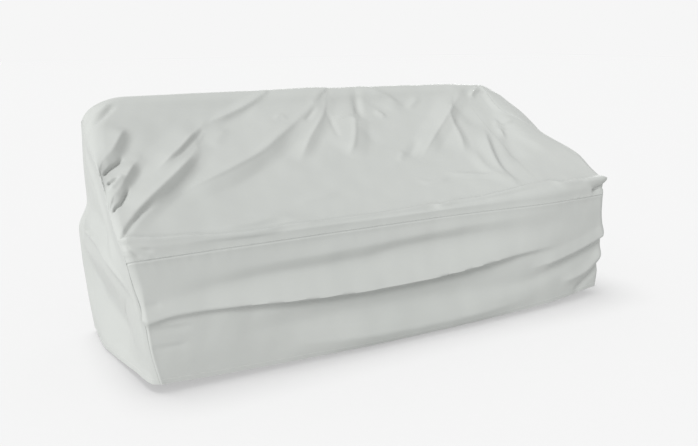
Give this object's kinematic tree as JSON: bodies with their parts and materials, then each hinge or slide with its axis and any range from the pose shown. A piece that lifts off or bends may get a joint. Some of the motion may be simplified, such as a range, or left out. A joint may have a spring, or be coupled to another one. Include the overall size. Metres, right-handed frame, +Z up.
{
  "type": "outdoor sofa cover",
  "caption": "Fitted outdoor cover for a long sofa: level front seam, sloped top over arms and back, profile side panels, open below and hollow.",
  "frame": {"origin": "the underside of the top at the ridge, in the middle of the cover's width, where it rests on the sofa's back", "axes": "+X across the cover towards the right side as seen from the front, +Y from the front to the back, +Z up"},
  "size_m": [2.2457, 0.7578, 0.9611],
  "materials": {
    "coated_cloth": "matte coated plain weave"
  },
  "bodies": {
    "root": {"top_panel": "coated_cloth", "front_skirt": "coated_cloth", "back_skirt": "coated_cloth", "left_side": "coated_cloth", "right_side": "coated_cloth"}
  },
  "joints": []
}
